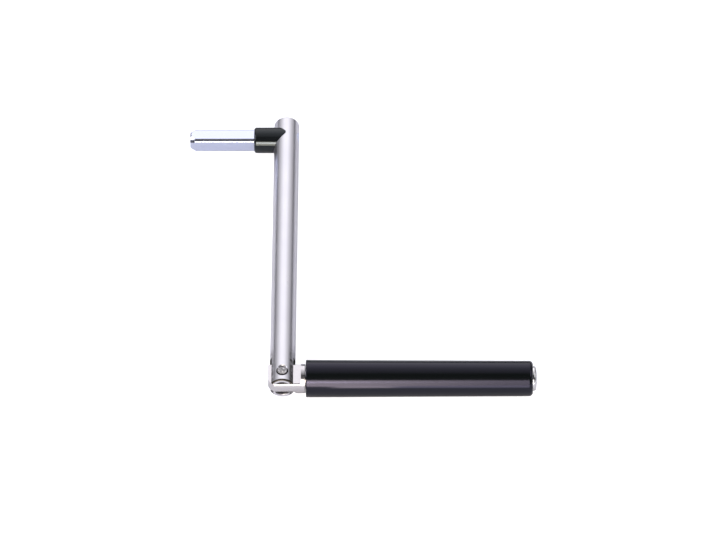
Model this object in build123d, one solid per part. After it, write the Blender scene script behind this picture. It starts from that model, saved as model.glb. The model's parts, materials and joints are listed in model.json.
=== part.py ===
"""Folding crank handle: square drive shank, tubular arm and a turning grip on a hinged spindle.

Drawn in millimetres. The hinge axis is at X 0, Y 0, Z 0 while the pieces are made:
X runs along the grip, Y runs up the arm and Z is the hinge axis.
At the end everything moves so that the origin is below the middle of the handle.
"""
import math
import os

from build123d import *

os.makedirs("parts", exist_ok=True)

# ---------------------------------------------------------------- driving sizes
CRANK_RADIUS = 200.0        # shank axis to grip axis

ARM_DIAMETER = 15.2
ARM_BORE = 10.4
ARM_END_BELOW = 8.1         # arm past the hinge axis
ARM_END_ABOVE = 13.0        # arm past the shank axis
ARM_ROUNDING = 1.0          # outer edge at both ends
BORE_EDGE = 0.3             # chamfer of the bore at both ends

SLOT_PLAY = 0.2             # between the tongue and the slot, on each side
SLOT_TOP = 12.9             # slot end above the hinge axis
SLOT_CORNER = 2.2

SHANK_SQUARE = 10.3
SHANK_CORNER = 1.8          # rounding of the four long edges
SHANK_TIP = 59.0            # tip to arm axis
TIP_DIAMETER = 9.4          # flat left by the turned chamfer at the tip
TIP_SLOPE = 30.0            # degrees between the chamfer and the axis
SHANK_LAND = 10.0           # turned part inside the collar
SHANK_SPIGOT = 8.0          # turned part through the arm
LAND_DEPTH = 1.2            # land's shoulder to the arm's round surface
RIVET_DEPTH = 1.7           # countersunk head, from the arm's round surface inward

COLLAR_DIAMETER = 15.8
COLLAR_FACE = 19.8          # collar's outer face to arm axis
COLLAR_EDGE = 1.5           # rounding of the outer face's rim

BAR_DIAMETER = 17.4         # bar that the hinge spindle is turned from
TONGUE_ABOVE = 3.8          # upper flat to the spindle's axis
TONGUE_BELOW = 2.5          # lower flat to the spindle's axis
TONGUE_POCKET = 10.9        # radius that the lower flat is milled to, round the hinge axis
TONGUE_END = 8.6            # tongue past the hinge axis, away from the grip
TONGUE_HEEL = 6.0           # radius of the corner on the open side of the slot
TONGUE_CORNER = 1.5         # radius of the corner that lifts the plunger
TONGUE_EDGE = 0.3           # broken edges of the two flats
SHOULDER = 11.1             # where the flats end
NECK_END = 13.7             # where the neck ends, short of the grip
SPINDLE_DIAMETER = 10.0
SPINDLE_NOSE = 8.0          # reduced end that carries the cap

PIN_DIAMETER = 5.8
PIN_PROUD = 0.3             # pin end above the arm's round surface
PIN_CROWN = 9.0             # radius of its domed ends
PIN_EDGE = 0.3
PIN_CLEARANCE = 0.1         # hole in the tongue, over the pin's diameter
COUNTERSINK = 8.8           # mouth of the pin hole, at the arm's surface

GRIP_START = 14.0
GRIP_END = 148.8
GRIP_DIAMETER = 22.3        # at the hinge end
GRIP_DIAMETER_OUT = 21.1    # at the far end
GRIP_RIM = 0.6              # rounding at the hinge end
GRIP_RIM_OUT = 2.2          # rounding at the far end

BUSH_OUTSIDE = 13.0
BUSH_BORE = 10.1
BUSH_FLANGE = 16.0
BUSH_LENGTH = 16.0
FLANGE_THICKNESS = 1.5

CAP_DIAMETER = 14.8
CAP_PROUD = 2.4             # cap past the end of the grip

PLUNGER_DIAMETER = 10.3
PLUNGER_LENGTH = 11.0
PLUNGER_STEM = 6.4
PLUNGER_LIFTED = 12.5       # nose above the hinge axis while the tongue's corner passes

SPRING_WIRE = 1.0
SPRING_COIL = 8.4           # diameter at the middle of the wire
SPRING_TURNS = 6
SPRING_SEAT = 50.0          # where the spring bears on its seat
SEAT_LENGTH = 9.0

PLUG_LENGTH = 8.0


def rod(diameter, x0, x1):
    """Cylinder along X."""
    middle = (x0 + x1) / 2
    return Pos(middle, 0, 0) * Rot(0, 90, 0) * Cylinder(diameter / 2, x1 - x0)


def post(diameter, y0, y1):
    """Cylinder along Y."""
    middle = (y0 + y1) / 2
    return Pos(0, middle, 0) * Rot(90, 0, 0) * Cylinder(diameter / 2, y1 - y0)


def peg(diameter, z0, z1):
    """Cylinder along Z."""
    middle = (z0 + z1) / 2
    return Pos(0, 0, middle) * Cylinder(diameter / 2, z1 - z0)


def turned(points):
    """Solid of revolution about the X axis from (x, radius) points."""
    outline = make_face(Polyline(*[(x, r) for x, r in points], close=True))
    return revolve(outline, Axis.X, 360)


# ---------------------------------------------------------------- arm tube
arm_top = CRANK_RADIUS + ARM_END_ABOVE
arm_radius = ARM_DIAMETER / 2

arm_outline = make_face(
    Polyline(
        (ARM_BORE / 2 + BORE_EDGE, -ARM_END_BELOW),
        (arm_radius, -ARM_END_BELOW),
        (arm_radius, arm_top),
        (ARM_BORE / 2 + BORE_EDGE, arm_top),
        (ARM_BORE / 2, arm_top - BORE_EDGE),
        (ARM_BORE / 2, -ARM_END_BELOW + BORE_EDGE),
        close=True,
    )
)
arm_outline = fillet(arm_outline.vertices().group_by(Axis.X)[-1], ARM_ROUNDING)
arm_tube = revolve(arm_outline, Axis.Y, 360)

# slot for the tongue, open at the hinge end; it lies off the tube's axis, as the tongue does
slot_length = SLOT_TOP + ARM_END_BELOW + 10
slot_width = TONGUE_ABOVE + TONGUE_BELOW + 2 * SLOT_PLAY
slot_offset = (TONGUE_ABOVE - TONGUE_BELOW) / 2
slot_shape = Plane.YZ * Pos(SLOT_TOP - slot_length / 2, slot_offset) * RectangleRounded(
    slot_length, slot_width, SLOT_CORNER
)
arm_tube -= extrude(slot_shape, 20, both=True)

# hinge pin: a press hole through both cheeks, countersunk at 45 degrees round each pin end
arm_tube -= peg(PIN_DIAMETER, -20, 20)
sink_depth = (COUNTERSINK - PIN_DIAMETER) / 2
sink_height = sink_depth + 2
sink = Cone(PIN_DIAMETER / 2, PIN_DIAMETER / 2 + sink_height, sink_height)
sink = Pos(0, 0, arm_radius - sink_depth + sink_height / 2) * sink
arm_tube -= sink
arm_tube -= mirror(sink, Plane.XY)

# shank hole through both walls, countersunk on the far side for the riveted end
arm_tube -= Pos(0, CRANK_RADIUS, 0) * rod(SHANK_SPIGOT, -20, 20)
rivet_x0 = arm_radius - RIVET_DEPTH
rivet_x1 = arm_radius + 1
rivet_radius = SHANK_SPIGOT / 2 + (rivet_x1 - rivet_x0) * 0.6
rivet_seat = turned(
    [(rivet_x0, 0), (rivet_x0, SHANK_SPIGOT / 2), (rivet_x1, rivet_radius), (rivet_x1, 0)]
)
arm_tube -= Pos(0, CRANK_RADIUS, 0) * rivet_seat

# ---------------------------------------------------------------- top plug
arm_plug = post(ARM_BORE, arm_top - PLUG_LENGTH, arm_top - 0.3)
arm_plug = chamfer(arm_plug.edges().sort_by(Axis.Y)[-1], 0.4)
arm_plug = chamfer(arm_plug.edges().sort_by(Axis.Y)[0], 0.6)
# hollow underside, so that the plug is a cup with an even wall
arm_plug -= post(ARM_BORE - 2.4, arm_top - PLUG_LENGTH - 1, arm_top - 2.0)

# ---------------------------------------------------------------- drive shank
square = Pos(-(SHANK_TIP + COLLAR_FACE) / 2, 0, 0) * Box(
    SHANK_TIP - COLLAR_FACE, SHANK_SQUARE, SHANK_SQUARE
)
square = fillet(square.edges().filter_by(Axis.X), SHANK_CORNER)
# the tip has a turned chamfer, so it takes most off the four corners
tip_length = SHANK_SQUARE
tip_rise = tip_length * math.tan(math.radians(TIP_SLOPE))
square &= turned(
    [
        (-SHANK_TIP, 0),
        (-SHANK_TIP, TIP_DIAMETER / 2),
        (-SHANK_TIP + tip_length, TIP_DIAMETER / 2 + tip_rise),
        (-COLLAR_FACE, TIP_DIAMETER / 2 + tip_rise),
        (-COLLAR_FACE, 0),
    ]
)
land_end = -arm_radius - LAND_DEPTH
land = rod(SHANK_LAND, -COLLAR_FACE, land_end)
spigot = rod(SHANK_SPIGOT, land_end, rivet_x0) + rivet_seat
drive_shank = Pos(0, CRANK_RADIUS, 0) * (square + land + spigot)
# the riveted end is flush with the arm's round surface
drive_shank &= post(ARM_DIAMETER, 150, 250) + Pos(-60, CRANK_RADIUS, 0) * Box(120, 30, 30)

# ---------------------------------------------------------------- shank collar
collar_radius = COLLAR_DIAMETER / 2
collar = rod(COLLAR_DIAMETER, -COLLAR_FACE, -0.3)
collar = fillet(collar.edges().sort_by(Axis.X)[0], COLLAR_EDGE)
collar = Pos(0, CRANK_RADIUS, 0) * collar
# mouth that fits the arm
collar -= post(ARM_DIAMETER, 150, 250)
# the two ears of the mouth have round tips
ear_outline = make_face(
    Polyline(
        (-COLLAR_FACE - 1, -9),
        (-6.6, -9),
        (-6.6, -7.9),
        (0, 0),
        (-6.6, 7.9),
        (-6.6, 9),
        (-COLLAR_FACE - 1, 9),
        close=True,
    )
)
ear_corner = ear_outline.vertices().sort_by(Axis.X)[-1]
ear_outline = fillet(ear_corner, 1.3)
collar &= Pos(0, CRANK_RADIUS, 0) * extrude(ear_outline, 12, both=True)
collar -= Pos(0, CRANK_RADIUS, 0) * rod(SHANK_LAND, -COLLAR_FACE - 1, land_end)
collar -= Pos(0, CRANK_RADIUS, 0) * rod(SHANK_SPIGOT, -COLLAR_FACE - 1, 0)
shank_collar = collar

# ---------------------------------------------------------------- hinge spindle
bar_radius = BAR_DIAMETER / 2
spindle_end = GRIP_END + 0.9
hinge_spindle = turned(
    [
        (-TONGUE_END, 0),
        (-TONGUE_END, bar_radius),
        (NECK_END - 0.3, bar_radius),
        (NECK_END, bar_radius - 0.3),
        (NECK_END, SPINDLE_DIAMETER / 2),
        (GRIP_END - 2.6, SPINDLE_DIAMETER / 2),
        (GRIP_END - 2.6, SPINDLE_NOSE / 2),
        (spindle_end - 0.6, SPINDLE_NOSE / 2),
        (spindle_end, SPINDLE_NOSE / 2 - 0.6),
        (spindle_end, 0),
    ]
)
# the upper flat is milled straight across, up to the shoulder
flat_length = SHOULDER + TONGUE_END
upper_waste = Pos(SHOULDER - flat_length / 2, 0, TONGUE_ABOVE + bar_radius / 2) * Box(
    flat_length, BAR_DIAMETER, bar_radius
)
# the lower flat ends in a round pocket, which clears the arm's lower cheek at every angle
lower_waste = peg(2 * TONGUE_POCKET, -TONGUE_BELOW - bar_radius, -TONGUE_BELOW)
lower_waste += Pos(-TONGUE_END / 2, 0, -TONGUE_BELOW - bar_radius / 2) * Box(
    TONGUE_END, BAR_DIAMETER, bar_radius
)
hinge_spindle -= upper_waste + lower_waste
front_edges = hinge_spindle.faces().filter_by(Axis.Z).edges().filter_by(Axis.X)
hinge_spindle = chamfer(front_edges, TONGUE_EDGE)


def corner_waste(y, radius):
    """What lies outside a rounded corner of the tongue; y is the side that the corner is on."""
    toward_axis = -math.copysign(1, y)
    centre = Pos(-TONGUE_END + radius, y + toward_axis * radius, 0)
    outward = Pos(-radius, -toward_axis * radius, 0)
    return centre * (outward * Box(2 * radius, 2 * radius, BAR_DIAMETER) - peg(2 * radius, -20, 20))


# the corner on the open side of the slot is well rounded, and the other one lifts the plunger
hinge_spindle -= corner_waste(-bar_radius, TONGUE_HEEL)
hinge_spindle -= corner_waste(bar_radius, TONGUE_CORNER)
hinge_spindle -= peg(PIN_DIAMETER + PIN_CLEARANCE, -10, 10)

# ---------------------------------------------------------------- hinge pin
half_pin = arm_radius + PIN_PROUD
hinge_pin = peg(PIN_DIAMETER, -half_pin, half_pin)
for side in (1, -1):
    hinge_pin &= Pos(0, 0, side * (half_pin - PIN_CROWN)) * (
        Sphere(PIN_CROWN) + peg(PIN_DIAMETER + 2, *sorted((0, -side * 2 * half_pin)))
    )
hinge_pin = fillet(hinge_pin.edges().filter_by(GeomType.CIRCLE), PIN_EDGE)

# ---------------------------------------------------------------- grip
grip_body = turned(
    [
        (GRIP_START, 0),
        (GRIP_START, GRIP_DIAMETER / 2),
        (GRIP_END, GRIP_DIAMETER_OUT / 2),
        (GRIP_END, 0),
    ]
)
inner_rim = grip_body.edges().sort_by(Axis.X)[0]
grip_body = fillet(inner_rim, GRIP_RIM)
outer_rim = grip_body.edges().sort_by(Axis.X)[-1]
grip_body = fillet(outer_rim, GRIP_RIM_OUT)
grip_core = turned(
    [
        (GRIP_START - 1, 0),
        (GRIP_START - 1, BUSH_FLANGE / 2),
        (GRIP_START + FLANGE_THICKNESS, BUSH_FLANGE / 2),
        (GRIP_START + FLANGE_THICKNESS, BUSH_OUTSIDE / 2),
        (GRIP_START + BUSH_LENGTH, BUSH_OUTSIDE / 2),
        (GRIP_START + BUSH_LENGTH, BUSH_OUTSIDE / 2 - 0.5),
        (GRIP_END - 4.3 - BUSH_LENGTH, BUSH_OUTSIDE / 2 - 0.5),
        (GRIP_END - 4.3 - BUSH_LENGTH, BUSH_OUTSIDE / 2),
        (GRIP_END - 4.3 - FLANGE_THICKNESS, BUSH_OUTSIDE / 2),
        (GRIP_END - 4.3 - FLANGE_THICKNESS, CAP_DIAMETER / 2 + 0.2),
        (GRIP_END + 1, CAP_DIAMETER / 2 + 0.2),
        (GRIP_END + 1, 0),
    ]
)
grip = grip_body - grip_core


def bush(x0, direction):
    """Flanged bush whose flange face is at x0; direction points into the grip."""
    points = [
        (0, BUSH_BORE / 2 + 0.3),
        (0, BUSH_FLANGE / 2),
        (FLANGE_THICKNESS, BUSH_FLANGE / 2),
        (FLANGE_THICKNESS, BUSH_OUTSIDE / 2),
        (BUSH_LENGTH, BUSH_OUTSIDE / 2),
        (BUSH_LENGTH, BUSH_BORE / 2),
        (0.3, BUSH_BORE / 2),
    ]
    return turned([(x0 + direction * x, r) for x, r in points])


inner_bush = bush(GRIP_START, 1)

# the outer bush sits at the bottom of the end recess, with a smaller flange
outer_start = GRIP_END - 4.3
outer_points = [
    (0, BUSH_BORE / 2 + 0.3),
    (0, CAP_DIAMETER / 2 + 0.2),
    (FLANGE_THICKNESS, CAP_DIAMETER / 2 + 0.2),
    (FLANGE_THICKNESS, BUSH_OUTSIDE / 2),
    (BUSH_LENGTH, BUSH_OUTSIDE / 2),
    (BUSH_LENGTH, BUSH_BORE / 2),
    (0.3, BUSH_BORE / 2),
]
outer_bush = turned([(outer_start - x, r) for x, r in outer_points])

# ---------------------------------------------------------------- thrust washer
washer_x0 = GRIP_END - 4.1
washer_x1 = GRIP_END - 2.6
end_washer = turned(
    [
        (washer_x0, SPINDLE_DIAMETER / 2 + 0.05),
        (washer_x0, 7.0),
        (washer_x1, 7.0),
        (washer_x1, SPINDLE_DIAMETER / 2 + 0.05),
    ]
)

# ---------------------------------------------------------------- star washer
star_x0 = washer_x1
star_thickness = 0.6
star_outline = Circle(6.6) - Circle(SPINDLE_NOSE / 2)
star_washer = extrude(Plane.YZ.offset(star_x0) * star_outline, star_thickness)
for index in range(8):
    angle = index * 45 + 22.5
    notch = Pos(star_x0 + star_thickness / 2, 0, 0) * Rot(angle, 0, 0) * Pos(
        0, 4.6, 0
    ) * Box(2, 2.4, 0.9)
    star_washer -= notch

# ---------------------------------------------------------------- end cap
cap_x0 = star_x0 + star_thickness
cap_x1 = GRIP_END + CAP_PROUD
cap_radius = CAP_DIAMETER / 2
crown_radius = 45.0
end_cap = rod(CAP_DIAMETER, cap_x0, cap_x1 + 1)
end_cap &= Pos(cap_x1 - crown_radius, 0, 0) * Sphere(crown_radius)
end_cap = fillet(end_cap.edges().sort_by(Axis.X)[-1], 1.5)
# pressed from thin sheet, so it is hollow
end_cap -= turned(
    [
        (cap_x0 - 1, 0),
        (cap_x0 - 1, cap_radius - 0.8),
        (cap_x1 - 1.8, cap_radius - 0.8),
        (cap_x1 - 1.1, cap_radius - 1.8),
        (cap_x1 - 0.9, 0),
    ]
)

# ---------------------------------------------------------------- plunger, spring and seat
plunger_outline = make_face(
    Polyline(
        (0, PLUNGER_LIFTED),
        (PLUNGER_DIAMETER / 2 - 0.5, PLUNGER_LIFTED),
        (PLUNGER_DIAMETER / 2, PLUNGER_LIFTED + 0.5),
        (PLUNGER_DIAMETER / 2, PLUNGER_LIFTED + PLUNGER_LENGTH),
        (PLUNGER_STEM / 2, PLUNGER_LIFTED + PLUNGER_LENGTH),
        (PLUNGER_STEM / 2, PLUNGER_LIFTED + PLUNGER_LENGTH + 6.6),
        (PLUNGER_STEM / 2 - 0.4, PLUNGER_LIFTED + PLUNGER_LENGTH + 7.0),
        (0, PLUNGER_LIFTED + PLUNGER_LENGTH + 7.0),
        close=True,
    )
)
detent_plunger = revolve(plunger_outline, Axis.Y, 360)

spring_start = PLUNGER_LIFTED + PLUNGER_LENGTH
spring_length = SPRING_SEAT - spring_start
wire_travel = spring_length - SPRING_WIRE
wire_path = Helix(wire_travel / SPRING_TURNS, wire_travel, SPRING_COIL / 2)
wire_plane = Plane(origin=wire_path @ 0, z_dir=wire_path % 0)
detent_spring = sweep(wire_plane * Circle(SPRING_WIRE / 2), path=wire_path, is_frenet=True)
detent_spring = Pos(0, spring_start + SPRING_WIRE / 2, 0) * Rot(-90, 0, 0) * detent_spring

seat_outline = make_face(
    Polyline(
        (0, SPRING_SEAT - 4.5),
        (PLUNGER_STEM / 2 - 0.3, SPRING_SEAT - 4.5),
        (PLUNGER_STEM / 2, SPRING_SEAT - 4.2),
        (PLUNGER_STEM / 2, SPRING_SEAT),
        (ARM_BORE / 2, SPRING_SEAT),
        (ARM_BORE / 2, SPRING_SEAT + SEAT_LENGTH),
        (0, SPRING_SEAT + SEAT_LENGTH),
        close=True,
    )
)
spring_seat = revolve(seat_outline, Axis.Y, 360)

# ---------------------------------------------------------------- origin and export
shift_x = -((GRIP_END + CAP_PROUD) - SHANK_TIP) / 2
shift_y = -(arm_top - GRIP_DIAMETER / 2) / 2
shift_z = GRIP_DIAMETER / 2

pieces = {
    "arm_tube": arm_tube,
    "arm_plug": arm_plug,
    "drive_shank": drive_shank,
    "shank_collar": shank_collar,
    "spring_seat": spring_seat,
    "detent_spring": detent_spring,
    "detent_plunger": detent_plunger,
    "hinge_pin": hinge_pin,
    "hinge_spindle": hinge_spindle,
    "grip": grip,
    "inner_bush": inner_bush,
    "outer_bush": outer_bush,
    "end_washer": end_washer,
    "star_washer": star_washer,
    "end_cap": end_cap,
}

for name, piece in pieces.items():
    placed = Pos(shift_x, shift_y, shift_z) * piece
    solids = placed.solids()
    box = placed.bounding_box()
    print(
        f"{name:16s} solids {len(solids)} volume {sum(s.volume for s in solids):9.1f} "
        f"x {box.min.X:8.2f} {box.max.X:8.2f} y {box.min.Y:8.2f} {box.max.Y:8.2f} "
        f"z {box.min.Z:7.2f} {box.max.Z:7.2f}"
    )
    if len(solids) == 1:
        placed = solids[0]
    export_step(placed, f"parts/{name}.step")

print("shift", round(shift_x, 3), round(shift_y, 3), round(shift_z, 3))
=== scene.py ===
"""Folding crank handle, laid flat on a pale table and dressed for a studio view.

Metres throughout. X runs along the grip, Y up the arm, and Z is the hinge axis, upward.
"""
import json

import bpy
import numpy as np
from mathutils import Matrix

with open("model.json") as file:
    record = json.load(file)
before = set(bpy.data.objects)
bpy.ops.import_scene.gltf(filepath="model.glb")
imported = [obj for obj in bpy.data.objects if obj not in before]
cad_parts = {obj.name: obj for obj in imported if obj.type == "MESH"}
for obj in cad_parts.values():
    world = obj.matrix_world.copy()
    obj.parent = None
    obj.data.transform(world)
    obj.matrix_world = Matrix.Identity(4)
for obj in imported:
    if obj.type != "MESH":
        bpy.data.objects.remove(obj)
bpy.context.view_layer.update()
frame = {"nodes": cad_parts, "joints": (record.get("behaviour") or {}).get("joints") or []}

# ---------------------------------------------------------------- arm tube
# The crank's arm: a length of drawn steel tube, slotted at one end for the hinge tongue.
# It is satin nickel plated after the slot and the holes are cut, over faint draw marks
# that run along the tube, and handling has left a few fine scratches.

ARM_COLOUR = (0.79, 0.785, 0.82, 1.0)
ARM_CLOUDS = (0.93, 0.925, 0.97, 1.0)
ARM_ROUGHNESS = 0.29
ARM_MARKS = (520.0, 16.0, 520.0)      # cells a metre: fine across, long down the tube

CLOUD_CELLS = 60.0                    # cells a metre of a plated surface's unevenness
SCRATCH_CELLS = (900.0, 90.0, 400.0)
SCRATCH_TURN = (0.3, 0.2, 0.5)        # radians, so that scratches cross the draw marks
SCRATCH_WIDTH = 0.008                 # how near the noise's middle a scratch lies
SCRATCH_CUT = 0.4                     # its depth, where that of the marks is 1
PATCH_CELLS = 110.0                   # scratches are kept in patches of this noise
PATCH_LEVEL = 0.06


def feed(tree, node, feeds):
    """Gives a node's inputs, by name or place, their sockets or plain values."""
    for place, value in feeds.items():
        if isinstance(value, bpy.types.NodeSocket):
            tree.links.new(value, node.inputs[place])
        else:
            node.inputs[place].default_value = value


def add_node(tree, kind, feeds, **settings):
    """Adds a node to a tree, sets it up, feeds its inputs and returns it."""
    node = tree.nodes.new("ShaderNode" + kind)
    for name, value in settings.items():
        setattr(node, name, value)
    feed(tree, node, feeds)
    return node


def reckon(tree, operation, *values):
    """Math node over sockets and plain numbers."""
    return add_node(tree, "Math", dict(enumerate(values)), operation=operation).outputs[0]


def reckon_vector(tree, operation, *values):
    """Vector math node over sockets and triples; a dot product gives a plain number."""
    node = add_node(tree, "VectorMath", dict(enumerate(values)), operation=operation)
    return node.outputs["Value" if operation == "DOT_PRODUCT" else "Vector"]


def smooth_step(tree, value, span):
    """Eased step over a value: 0 at the span's first end and 1 at its second."""
    feeds = {"Value": value, "From Min": span[0], "From Max": span[1]}
    return add_node(tree, "MapRange", feeds, interpolation_type="SMOOTHSTEP").outputs[0]


def noise(tree, position, cells, detail):
    """Noise texture from 0 to 1, with this many cells to a unit of position."""
    feeds = {"Vector": position, "Scale": cells, "Detail": detail}
    return add_node(tree, "TexNoise", feeds).outputs[0]


def swing(tree, position, cells, detail):
    """Noise less its middle, so that it adds as much as it takes away."""
    return reckon(tree, "SUBTRACT", noise(tree, position, cells, detail), 0.5)


def node_group(name, takes, gives):
    """Empty node group: takes lists (name, kind, value) and gives lists (name, kind).

    Returns the group, the sockets that it is given, and the node that it puts out through.
    """
    group = bpy.data.node_groups.new(name, "ShaderNodeTree")
    for label, kind, value in takes:
        kind = "NodeSocket" + kind
        socket = group.interface.new_socket(label, in_out="INPUT", socket_type=kind)
        socket.default_value = value
    for label, kind in gives:
        group.interface.new_socket(label, in_out="OUTPUT", socket_type="NodeSocket" + kind)
    given = group.nodes.new("NodeGroupInput").outputs
    return group, given, group.nodes.new("NodeGroupOutput")


def plated_finish():
    """Node group "plated steel".

    Marks is a noise stretched by the Marks vector; clouds is a broad even noise; scratches is
    a thin slice round the middle of a second stretched noise, kept where a broad noise is high.
    Roughness = base + marks * mark depth + clouds * cloud depth + scratches * scratch depth.
    Height = marks less scratches. Colour = base times a tint that fades in with the clouds.
    """
    group, given, result = node_group(
        "plated steel",
        (
            ("Position", "Vector", (0.0, 0.0, 0.0)),
            ("Marks", "Vector", (400.0, 400.0, 400.0)),
            ("Colour", "Color", (0.8, 0.8, 0.8, 1.0)),
            ("Cloud tint", "Color", (0.95, 0.95, 0.95, 1.0)),
            ("Roughness", "Float", 0.25),
            ("Mark depth", "Float", 0.06),
            ("Cloud depth", "Float", 0.05),
            ("Scratch depth", "Float", 0.12),
        ),
        (("Colour", "Color"), ("Roughness", "Float"), ("Height", "Float")),
    )
    position = given["Position"]
    marks = swing(group, reckon_vector(group, "MULTIPLY", position, given["Marks"]), 1.0, 3.0)
    clouds = swing(group, position, CLOUD_CELLS, 2.0)

    skew = {"Vector": position, "Rotation": SCRATCH_TURN, "Scale": SCRATCH_CELLS}
    skewed = add_node(group, "Mapping", skew).outputs[0]
    thin = reckon(group, "ABSOLUTE", swing(group, skewed, 1.0, 0.0))
    thin = reckon(group, "LESS_THAN", thin, SCRATCH_WIDTH)
    patch = reckon(group, "GREATER_THAN", swing(group, position, PATCH_CELLS, 1.0), PATCH_LEVEL)
    scratches = reckon(group, "MULTIPLY", thin, patch)

    rough = reckon(group, "MULTIPLY_ADD", marks, given["Mark depth"], given["Roughness"])
    rough = reckon(group, "MULTIPLY_ADD", clouds, given["Cloud depth"], rough)
    rough = reckon(group, "MULTIPLY_ADD", scratches, given["Scratch depth"], rough)
    height = reckon(group, "SUBTRACT", marks, reckon(group, "MULTIPLY", scratches, SCRATCH_CUT))
    amount = reckon(group, "ADD", clouds, 0.5)
    tinted = {"Fac": amount, "Color1": given["Colour"], "Color2": given["Cloud tint"]}
    colour = add_node(group, "MixRGB", tinted, blend_type="MULTIPLY").outputs[0]
    feed(group, result, {"Colour": colour, "Roughness": rough, "Height": height})
    return group


plated = plated_finish()


def finished(name, group, values, relief):
    """Material whose Principled shader a finish group feeds; relief is its bump in metres."""
    material = bpy.data.materials.new(name)
    material.use_nodes = True
    tree = material.node_tree
    place = add_node(tree, "TexCoord", {}, name="place")
    values = {"Position": place.outputs["Object"], **values}
    finish = add_node(tree, "Group", values, node_tree=group, name="finish")
    rise = {"Strength": 1.0, "Distance": relief, "Height": finish.outputs["Height"]}
    bump = add_node(tree, "Bump", rise, name="relief")
    surface = {
        "Base Color": finish.outputs["Colour"],
        "Roughness": finish.outputs["Roughness"],
        "Normal": bump.outputs["Normal"],
    }
    feed(tree, tree.nodes["Principled BSDF"], surface)
    return material


def plated_steel(
    name,
    colour,
    roughness,
    marks,
    cloud_tint=(0.95, 0.95, 0.95, 1.0),
    mark_depth=0.06,
    relief=0.00001,
):
    """Material of a steel piece, plated or bare: the plated group on a metallic shader."""
    values = {
        "Colour": colour,
        "Cloud tint": cloud_tint,
        "Roughness": roughness,
        "Marks": marks,
        "Mark depth": mark_depth,
    }
    material = finished(name, plated, values, relief)
    tree = material.node_tree
    feed(tree, tree.nodes["Principled BSDF"], {"Metallic": 1.0})
    return material


def dress(node, material):
    """Gives a CAD node its finish."""
    for place in frame["nodes"][node].material_slots:
        place.material = material


satin_nickel = plated_steel(
    "satin nickel", ARM_COLOUR, ARM_ROUGHNESS, ARM_MARKS, cloud_tint=ARM_CLOUDS
)

# painted shade round the hinge: shade in the pin's countersink and inside the slot, and dark
# reflections on the cheeks' flanks and along the upper cheek's rounded end.
# It is placed by distances from the hinge axis in metres; of each pair, the first is where a patch
# is still unshaded, and the second is where it is full
HINGE = next(joint["pos_m"] for joint in frame["joints"] if joint["name"] == "fold")
HINGE_SHADE_COLOUR = (0.055, 0.049, 0.044, 1.0)
SHADE_BREAK_CELLS = 420.0                    # cells a metre of the noise that breaks it up
SHADE_BREAK_LEVELS = (0.36, 0.56)            # levels of that noise
SHADE_DULLS = 0.12                     # added to the roughness
RING_INSIDE = (0.0026, 0.0030)        # radii, round the pin
RING_OUTSIDE = (0.0038, 0.0033)
FLANK_MIDDLE = -0.0006                # across the arm
FLANK_SIDES = (0.0040, 0.0056)        # away from that middle
FLANK_RUN = (0.0240, 0.0080)          # up the arm
FLANK_STRENGTH = 0.85
LIP_INSIDE = (-0.0070, -0.0072)       # towards the arm's end, which lies at -0.0081
LIP_OUTSIDE = (-0.008095, -0.00807)
LIP_HEIGHT = (0.0, 0.001)
SLOT_MIDDLE = 0.00065                 # height
SLOT_WALLS = (0.00345, 0.0033)        # away from that middle
SLOT_RUN = (0.0136, 0.0131)           # up the arm


def painted_hinge_shade():
    """Node group "hinge grime".

    It paints shade round the hinge. The mask is the largest of four: a ring of shade in the pin's
    countersink and dark reflections on the cheeks' flanks, both broken up by a noise, and, left
    whole, a dark reflection along the upper cheek's rounded end and the shade inside the slot.
    Each is a distance from the hinge axis put through smooth steps. The mask paints that shade
    into the colour and dulls it.
    """
    group, given, result = node_group(
        "hinge painted shade",
        (
            ("Position", "Vector", (0.0, 0.0, 0.0)),
            ("Colour", "Color", (0.8, 0.8, 0.8, 1.0)),
            ("Roughness", "Float", 0.3),
            ("Shade colour", "Color", HINGE_SHADE_COLOUR),
            ("Strength", "Float", 1.0),
        ),
        (("Colour", "Color"), ("Roughness", "Float")),
    )

    def band(value, *spans):
        """Product of a value's smooth steps."""
        first, *others = [smooth_step(group, value, span) for span in spans]
        for other in others:
            first = reckon(group, "MULTIPLY", first, other)
        return first

    def aside(value, middle):
        """Distance of a value from a middle, to either side."""
        return reckon(group, "ABSOLUTE", reckon(group, "SUBTRACT", value, middle))

    from_hinge = reckon_vector(group, "SUBTRACT", given["Position"], HINGE)
    split = add_node(group, "SeparateXYZ", {0: from_hinge}).outputs
    across, along, height = split["X"], split["Y"], split["Z"]
    squares = [reckon(group, "POWER", side, 2.0) for side in (across, along)]
    radius = reckon(group, "SQRT", reckon(group, "ADD", *squares))

    ring = band(radius, RING_INSIDE, RING_OUTSIDE)
    flank = band(aside(across, FLANK_MIDDLE), FLANK_SIDES)
    flank = reckon(group, "MULTIPLY", flank, band(along, FLANK_RUN))
    flank = reckon(group, "MULTIPLY", flank, FLANK_STRENGTH)
    lip = reckon(group, "MULTIPLY", band(along, LIP_INSIDE, LIP_OUTSIDE), band(height, LIP_HEIGHT))
    slot = band(aside(height, SLOT_MIDDLE), SLOT_WALLS)
    slot = reckon(group, "MULTIPLY", slot, band(along, SLOT_RUN))

    breaks = band(noise(group, given["Position"], SHADE_BREAK_CELLS, 3.0), SHADE_BREAK_LEVELS)
    breaks = reckon(group, "MULTIPLY_ADD", breaks, 0.5, 0.5)
    patchy = reckon(group, "MULTIPLY", reckon(group, "MAXIMUM", flank, ring), breaks)
    mask = reckon(group, "MAXIMUM", patchy, reckon(group, "MAXIMUM", lip, slot))
    mask = reckon(group, "MULTIPLY", mask, given["Strength"])

    shaded_mix = {"Fac": mask, "Color1": given["Colour"], "Color2": given["Shade colour"]}
    colour = add_node(group, "MixRGB", shaded_mix).outputs[0]
    rough = reckon(group, "MULTIPLY_ADD", mask, SHADE_DULLS, given["Roughness"])
    feed(group, result, {"Colour": colour, "Roughness": rough})
    return group


hinge_shade_group = painted_hinge_shade()


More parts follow.
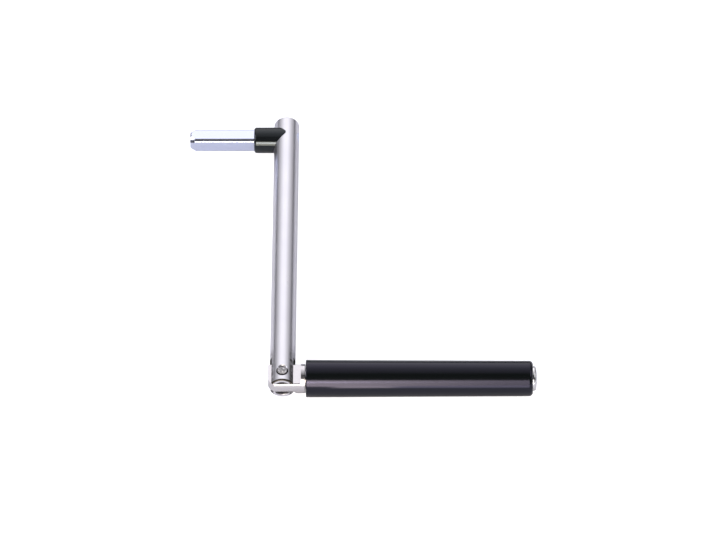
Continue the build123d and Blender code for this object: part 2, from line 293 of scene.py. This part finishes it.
def paint_hinge_shade(material, strength):
    """Puts the painted-shade group between a plated material's finish and its shader."""
    tree = material.node_tree
    finish = tree.nodes["finish"].outputs
    values = {
        "Position": tree.nodes["place"].outputs["Object"],
        "Colour": finish["Colour"],
        "Roughness": finish["Roughness"],
        "Strength": strength,
    }
    hinge_shading = add_node(tree, "Group", values, node_tree=hinge_shade_group).outputs
    surface = {"Base Color": hinge_shading["Colour"], "Roughness": hinge_shading["Roughness"]}
    feed(tree, tree.nodes["Principled BSDF"], surface)


# painted shade on the arm: its slot, its cheeks' flanks and its rounded end by the hinge
paint_hinge_shade(satin_nickel, 1.0)
dress("arm_tube", satin_nickel)

# ---------------------------------------------------------------- arm plug
# Pressed steel cup that closes the tube's top end. It is driven in before plating, so it
# has the arm's finish, and only the marks of the press tool differ: they run round, not along.

PLUG_ROUGHNESS = ARM_ROUGHNESS + 0.04
PLUG_MARKS = (300.0, 60.0, 300.0)
dress("arm_plug", plated_steel("plated plug", ARM_COLOUR, PLUG_ROUGHNESS, PLUG_MARKS))

# ---------------------------------------------------------------- drive shank
# Square steel bar that turns the load. Its inner end is turned down, passed through the
# collar and the arm, and riveted over. It is zinc plated, which leaves it bright and bluish.

SHANK_COLOUR = (0.72, 0.76, 0.93, 1.0)
SHANK_CLOUDS = (0.95, 0.96, 1.0, 1.0)
SHANK_ROUGHNESS = 0.17
SHANK_MARKS = (30.0, 500.0, 500.0)    # rolled marks along the bar
EDGE_SPAN = (0.92, 0.52)              # how unlike a normal's y and z are: kept, drawn over
END_SPAN = (0.12, 0.06)               # how far it leans along the bar: kept, drawn over
bright_zinc = plated_steel(
    "bright zinc",
    SHANK_COLOUR,
    SHANK_ROUGHNESS,
    SHANK_MARKS,
    cloud_tint=SHANK_CLOUDS,
    mark_depth=0.05,
    relief=0.000003,
)


def rolled_corner():
    """Node group "rolled corner".

    Takes a normal whose y and z parts tell where it stands on a rounded edge along X. Half-way
    round, where the two are alike in size, it is drawn to the diagonal between the two faces,
    so the edge shades as the narrow flat that rolling leaves on it. A normal that leans along
    X belongs to one of the bar's ends and stays as it is.
    """
    group, given, result = node_group(
        "rolled corner", (("Normal", "Vector", (0.0, 0.0, 0.0)),), (("Normal", "Vector"),)
    )
    normal = given["Normal"]
    size = reckon_vector(group, "ABSOLUTE", normal)
    unlike = reckon_vector(group, "DOT_PRODUCT", size, (0.0, 1.0, -1.0))
    lean = reckon_vector(group, "DOT_PRODUCT", size, (1.0, 0.0, 0.0))
    pull = smooth_step(group, reckon(group, "ABSOLUTE", unlike), EDGE_SPAN)
    pull = reckon(group, "MULTIPLY", pull, smooth_step(group, lean, END_SPAN))

    diagonal = reckon_vector(group, "SIGN", normal)
    diagonal = reckon_vector(group, "MULTIPLY", diagonal, (0.0, 1.0, 1.0))
    diagonal = reckon_vector(group, "NORMALIZE", diagonal)
    # on vectors, the Mix node has its factor at 0, the two vectors at 4 and 5, the result at 1
    drawn = {0: pull, 4: normal, 5: diagonal}
    drawn = add_node(group, "Mix", drawn, data_type="VECTOR").outputs[1]
    feed(group, result, {"Normal": reckon_vector(group, "NORMALIZE", drawn)})
    return group


zinc_tree = bright_zinc.node_tree
bar_normal = {"Normal": zinc_tree.nodes["place"].outputs["Normal"]}
edges = add_node(zinc_tree, "Group", bar_normal, node_tree=rolled_corner())
feed(zinc_tree, zinc_tree.nodes["relief"], {"Normal": edges.outputs["Normal"]})
dress("drive_shank", bright_zinc)

# ---------------------------------------------------------------- shank collar
# Moulded black collar that spaces the shank from the arm. Its mouth is shaped to the tube,
# and the rivet pulls it tight, so it needs no other fixing. The mould was polished.

COLLAR_COLOUR = (0.005, 0.006, 0.007, 1.0)
COLLAR_ROUGHNESS = 0.085
COLLAR_FLOW = (90.0, 60.0, 60.0)      # cells a metre of the plastic's flow marks
COLLAR_SHEEN = (0.70, 0.78, 0.84, 1.0)
WORN = 1.35                           # how much lighter a moulded colour gets in places


def moulded_finish():
    """Node group "moulded plastic".

    Grain is a fine even noise and gives Height. Flow is a broad noise drawn out along the
    Flow vector: it moves the roughness either way and lifts the colour a little.
    """
    group, given, result = node_group(
        "moulded plastic",
        (
            ("Position", "Vector", (0.0, 0.0, 0.0)),
            ("Flow", "Vector", (40.0, 40.0, 40.0)),
            ("Colour", "Color", (0.01, 0.01, 0.01, 1.0)),
            ("Worn colour", "Color", (0.014, 0.014, 0.014, 1.0)),
            ("Roughness", "Float", 0.3),
            ("Gloss change", "Float", 0.08),
            ("Grain", "Float", 800.0),
        ),
        (("Colour", "Color"), ("Roughness", "Float"), ("Height", "Float")),
    )
    position = given["Position"]
    grain = noise(group, position, given["Grain"], 2.0)
    flow = noise(group, reckon_vector(group, "MULTIPLY", position, given["Flow"]), 1.0, 4.0)
    gloss = reckon(group, "SUBTRACT", flow, 0.5)
    gloss = reckon(group, "MULTIPLY_ADD", gloss, given["Gloss change"], given["Roughness"])
    shades = {"Fac": flow, "Color1": given["Colour"], "Color2": given["Worn colour"]}
    colour = add_node(group, "MixRGB", shades).outputs[0]
    feed(group, result, {"Colour": colour, "Roughness": gloss, "Height": grain})
    return group


moulded = moulded_finish()


def moulded_plastic(
    name,
    colour,
    roughness,
    flow,
    grain=900.0,
    relief=0.000008,
    sheen=(1.0, 1.0, 1.0, 1.0),
):
    """Material of a moulded piece: the moulded group, with sheen as its gloss's tint."""
    values = {
        "Colour": colour,
        "Worn colour": (*(WORN * part for part in colour[:3]), 1.0),
        "Roughness": roughness,
        "Flow": flow,
        "Grain": grain,
    }
    material = finished(name, moulded, values, relief)
    tree = material.node_tree
    feed(tree, tree.nodes["Principled BSDF"], {"Specular Tint": sheen})
    return material


collar_black = moulded_plastic(
    "collar black",
    COLLAR_COLOUR,
    COLLAR_ROUGHNESS,
    COLLAR_FLOW,
    relief=0.000003,
    sheen=COLLAR_SHEEN,
)
dress("shank_collar", collar_black)

# ---------------------------------------------------------------- hinge spindle
# Turned from round bar: a neck and a long spindle that the grip turns on. Its inner end is
# milled flat on two sides to a tongue, which fits the arm's slot. Bright nickel plated.

SPINDLE_COLOUR = (0.70, 0.685, 0.70, 1.0)
SPINDLE_CLOUDS = (0.96, 0.94, 0.97, 1.0)
SPINDLE_ROUGHNESS = 0.2
SPINDLE_MARKS = (900.0, 60.0, 60.0)   # the lathe's rings lie across the axis
bright_nickel = plated_steel(
    "bright nickel",
    SPINDLE_COLOUR,
    SPINDLE_ROUGHNESS,
    SPINDLE_MARKS,
    cloud_tint=SPINDLE_CLOUDS,
    mark_depth=0.05,
)
dress("hinge_spindle", bright_nickel)

# ---------------------------------------------------------------- hinge pin
# Plain turned steel pin, pressed through both cheeks of the arm, with domed ends that stand
# a little proud in their countersinks. Pressing it in has dulled and dented the ends.

PIN_COLOUR = (0.56, 0.55, 0.57, 1.0)
PIN_ROUGHNESS = 0.34
PIN_MARKS = (900.0, 900.0, 120.0)     # dents on the ends, drawn out along the pin
PIN_SHADE_STRENGTH = 0.9
pin_steel = plated_steel(
    "turned pin", PIN_COLOUR, PIN_ROUGHNESS, PIN_MARKS, mark_depth=0.2, relief=0.0016
)
# painted shade in the countersinks round the pin's ends
paint_hinge_shade(pin_steel, PIN_SHADE_STRENGTH)
dress("hinge_pin", pin_steel)

# ---------------------------------------------------------------- grip
# Moulded black sleeve that turns on the spindle, a little thinner towards its free end.
# The mould was smooth but not polished, so it has a half gloss and faint flow marks along it.

GRIP_COLOUR = (0.0017, 0.0026, 0.0022, 1.0)
GRIP_ROUGHNESS = 0.17
GRIP_FLOW = (12.0, 90.0, 90.0)
GRIP_SHEEN = (0.68, 0.64, 0.95, 1.0)
grip_black = moulded_plastic(
    "grip black", GRIP_COLOUR, GRIP_ROUGHNESS, GRIP_FLOW, grain=700.0, sheen=GRIP_SHEEN
)
dress("grip", grip_black)

# ---------------------------------------------------------------- grip bushes
# Two flanged bearing bushes pushed into the grip's ends, turned from white acetal.
# Their flanges keep the grip off the neck at one end and off the washer at the other.

BUSH_COLOUR = (0.6, 0.6, 0.57, 1.0)
BUSH_ROUGHNESS = 0.4
BUSH_RINGS = (300.0, 40.0, 40.0)
bush_white = moulded_plastic(
    "bush white", BUSH_COLOUR, BUSH_ROUGHNESS, BUSH_RINGS, grain=600.0
)
dress("inner_bush", bush_white)
dress("outer_bush", bush_white)

# ---------------------------------------------------------------- end washers
# A thrust washer carries the grip's end load, and a star washer of spring steel grips the
# spindle's nose and holds everything on. Both are stamped, so their faces show press marks.

THRUST_COLOUR = (0.56, 0.56, 0.57, 1.0)
THRUST_ROUGHNESS = 0.34
THRUST_MARKS = (60.0, 500.0, 500.0)
STAR_COLOUR = (0.40, 0.40, 0.42, 1.0)
STAR_ROUGHNESS = 0.36
STAR_MARKS = (60.0, 380.0, 380.0)
thrust_steel = plated_steel("thrust washer", THRUST_COLOUR, THRUST_ROUGHNESS, THRUST_MARKS)
star_steel = plated_steel("star washer", STAR_COLOUR, STAR_ROUGHNESS, STAR_MARKS)
dress("end_washer", thrust_steel)
dress("star_washer", star_steel)

# ---------------------------------------------------------------- end cap
# Shallow cap pressed from bright plated sheet. It snaps over the star washer and hides it,
# and stands a little proud of the grip's end.

CAP_COLOUR = (0.84, 0.84, 0.85, 1.0)
CAP_ROUGHNESS = 0.15
CAP_MARKS = (80.0, 260.0, 260.0)
cap_bright = plated_steel(
    "bright cap", CAP_COLOUR, CAP_ROUGHNESS, CAP_MARKS, mark_depth=0.04
)
dress("end_cap", cap_bright)

# ---------------------------------------------------------------- hinge detent
# A black acetal plunger bears on the tongue and holds the handle open or folded. A coil
# spring drives it, from a steel seat pressed into the arm's bore. None of it is plated.

PLUNGER_COLOUR = (0.01, 0.01, 0.01, 1.0)
PLUNGER_ROUGHNESS = 0.4
PLUNGER_MARKS = (60.0, 25.0, 60.0)
SPRING_COLOUR = (0.42, 0.42, 0.44, 1.0)
SPRING_ROUGHNESS = 0.33
SPRING_MARKS = (350.0, 350.0, 350.0)
SEAT_COLOUR = (0.54, 0.54, 0.55, 1.0)
SEAT_ROUGHNESS = 0.38
SEAT_MARKS = (80.0, 600.0, 80.0)
plunger_black = moulded_plastic(
    "plunger black", PLUNGER_COLOUR, PLUNGER_ROUGHNESS, PLUNGER_MARKS, grain=600.0
)
spring_grey = plated_steel("spring wire", SPRING_COLOUR, SPRING_ROUGHNESS, SPRING_MARKS)
seat_grey = plated_steel("seat steel", SEAT_COLOUR, SEAT_ROUGHNESS, SEAT_MARKS)
dress("detent_plunger", plunger_black)
dress("detent_spring", spring_grey)
dress("spring_seat", seat_grey)

# ---------------------------------------------------------------- table
# The crank lies on a matt, slightly cool white table top, wide enough to fill the view
# from any side. Seen directly it is lifted to clean white, and it keeps a soft shadow.

TABLE_HALF = 6.0
TABLE_COLOUR = (0.73, 0.75, 0.81, 1.0)
TABLE_LIFT = 0.78

table_corners = TABLE_HALF * np.array(
    [[-1.0, -1.0, 0.0], [1.0, -1.0, 0.0], [1.0, 1.0, 0.0], [-1.0, 1.0, 0.0]]
)
table_mesh = bpy.data.meshes.new("table")
table_mesh.from_pydata(table_corners.tolist(), [], [(0, 1, 2, 3)])
table = bpy.data.objects.new("table", table_mesh)
bpy.context.scene.collection.objects.link(table)

table_white = bpy.data.materials.new("table white")
table_white.use_nodes = True
table_tree = table_white.node_tree
table_tree.nodes.remove(table_tree.nodes["Principled BSDF"])
matt = add_node(table_tree, "BsdfDiffuse", {"Color": TABLE_COLOUR})
seen = add_node(table_tree, "LightPath", {}).outputs["Is Camera Ray"]
glow = reckon(table_tree, "MULTIPLY", seen, TABLE_LIFT)
lift = add_node(table_tree, "Emission", {"Strength": glow})
lifted = add_node(table_tree, "AddShader", {0: matt.outputs[0], 1: lift.outputs[0]})
feed(table_tree, table_tree.nodes["Material Output"], {"Surface": lifted.outputs[0]})
table_mesh.materials.append(table_white)

# ---------------------------------------------------------------- lamps
# Studio light in a dim room: overlapping soft boxes behind and above, brightest in the middle,
# one box at each side, and low cards in front, warm at the left and dimmer to the right. Some
# cards stand, some lie on the table, and a narrow strip gives the collar its bright band.

WARM_WHITE = (1.0, 0.955, 0.99)
COOL_WHITE = (1.0, 0.985, 1.015)
LOW_SUN = (1.0, 0.90, 0.74)
ROOM_GREY = (0.07, 0.07, 0.075, 1.0)
BACK_MIDDLE = -0.1                    # the back boxes' middle, along X
BACK_REACH = 1.12                     # where the first one's slope is as far back as it is high
BACK_GAP = 0.01                       # each next one reaches this much further


def soft_box(name, centre, aim, width, height, radiance, colour):
    """Rectangular lamp at centre, facing aim; its power gives the wanted radiance."""
    lamp = bpy.data.lights.new(name, "AREA")
    lamp.shape = "RECTANGLE"
    lamp.size = width
    lamp.size_y = height
    lamp.energy = radiance * np.pi * width * height
    lamp.color = colour
    holder = bpy.data.objects.new(name, lamp)
    bpy.context.scene.collection.objects.link(holder)
    back = np.asarray(centre, float) - np.asarray(aim, float)
    back /= np.linalg.norm(back)
    side = np.cross((0.0, 0.0, 1.0) if abs(back[2]) < 0.9 else (0.0, 1.0, 0.0), back)
    side /= np.linalg.norm(side)
    up = np.cross(back, side)
    turn = np.eye(4)
    turn[:3, 0], turn[:3, 1], turn[:3, 2], turn[:3, 3] = side, up, back, centre
    holder.matrix_world = Matrix(turn.tolist())


# the back boxes lie on a slope of 45 degrees; each bigger one reaches further over the crank
for place, (name, half_width, foot, head, radiance) in enumerate((
    ("back middle", 0.45, -0.9, 0.3, 0.27),
    ("back inner", 0.72, -0.9, 0.6, 0.24),
    ("back outer", 1.0, -0.95, 1.0, 0.22),
    ("back wide", 1.45, -1.1, 1.6, 0.23),
    ("back widest", 1.85, -1.1, 2.5, 0.30),
)):
    reach = BACK_REACH + BACK_GAP * place
    climb = (foot + head) / 2.0 * np.sqrt(0.5)
    centre = np.array([BACK_MIDDLE, reach - climb, reach + climb])
    aim = centre - (0.0, 1.0, 1.0)
    soft_box(name, centre, aim, 2.0 * half_width, head - foot, radiance, COOL_WHITE)

# the other lamps: name, centre, aim, width, height, radiance and colour
for lamp in (
    ("side left", (-1.6, -0.1, 1.3), (0.0, -0.1, 0.0), 1.4, 1.0, 3.4, COOL_WHITE),
    ("side right", (1.6, -0.1, 1.3), (0.0, -0.1, 0.0), 1.4, 1.0, 1.4, COOL_WHITE),
    ("front card", (-0.44, -1.5, 0.5), (-0.44, 0.0, 0.5), 0.88, 1.0, 9.5, LOW_SUN),
    ("front card middle", (0.04, -1.5, 0.5), (0.04, 0.0, 0.5), 0.08, 1.0, 5.4, LOW_SUN),
    ("front card end", (0.3, -1.5, 0.5), (0.3, 0.0, 0.5), 0.44, 1.0, 1.8, WARM_WHITE),
    ("table card", (-0.34, -0.9, 0.004), (-0.34, -0.9, 1.0), 0.72, 1.26, 7.0, LOW_SUN),
    ("table card end", (0.26, -0.9, 0.004), (0.26, -0.9, 1.0), 0.48, 1.26, 2.2, WARM_WHITE),
    ("near card", (0.002, -0.211, 0.004), (0.002, -0.211, 1.0), 0.036, 0.118, 7.0, LOW_SUN),
    ("near card end", (0.064, -0.211, 0.004), (0.064, -0.211, 1.0), 0.088, 0.118, 2.6, WARM_WHITE),
    ("left strip", (-0.36, -1.5, 0.62), (-0.36, 0.0, 0.3), 0.6, 0.16, 24.0, WARM_WHITE),
):
    soft_box(*lamp)

# the room adds a dim grey light, and the camera sees it as plain white past the table
world = bpy.data.worlds.new("studio")
bpy.context.scene.world = world
world.use_nodes = True
room_tree = world.node_tree
room = room_tree.nodes["Background"]
feed(room_tree, room, {"Color": ROOM_GREY, "Strength": 1.0})
white = add_node(room_tree, "Background", {"Color": (1.0, 1.0, 1.0, 1.0)})
seen = add_node(room_tree, "LightPath", {}).outputs["Is Camera Ray"]
shown = add_node(room_tree, "MixShader", {0: seen, 1: room.outputs[0], 2: white.outputs[0]})
feed(room_tree, room_tree.nodes["World Output"], {"Surface": shown.outputs[0]})

# ---------------------------------------------------------------- camera
# A long lens from the front, looking down at the table at about the angle of a person
# standing at a bench, and turned a fraction of a degree off level.

AZIMUTH = np.radians(0.76)
ELEVATION = np.radians(46.05)
ROLL = np.radians(-0.58)
DISTANCE = 4.458
AIM = np.array([-0.0017, -0.01135, 0.01115])
LENS_LENGTH = 372.067                 # millimetres, as is the sensor's width
SENSOR_WIDTH = 36.0
FAR_LIMIT = 50.0

away = np.array(
    [
        np.sin(AZIMUTH) * np.cos(ELEVATION),
        -np.cos(AZIMUTH) * np.cos(ELEVATION),
        np.sin(ELEVATION),
    ]
)
level = np.array([np.cos(AZIMUTH), np.sin(AZIMUTH), 0.0])
upward = np.cross(away, level)
right = np.cos(ROLL) * level + np.sin(ROLL) * upward
top = np.cos(ROLL) * upward - np.sin(ROLL) * level
lens = bpy.data.cameras.new("camera")
lens.sensor_width = SENSOR_WIDTH
lens.lens = LENS_LENGTH
lens.clip_end = FAR_LIMIT
camera = bpy.data.objects.new("camera", lens)
bpy.context.scene.collection.objects.link(camera)
seat = np.eye(4)
seat[:3, 0], seat[:3, 1], seat[:3, 2], seat[:3, 3] = right, top, away, AIM + DISTANCE * away
camera.matrix_world = Matrix(seat.tolist())
bpy.context.scene.camera = camera

bpy.context.scene.view_settings.view_transform = "Standard"
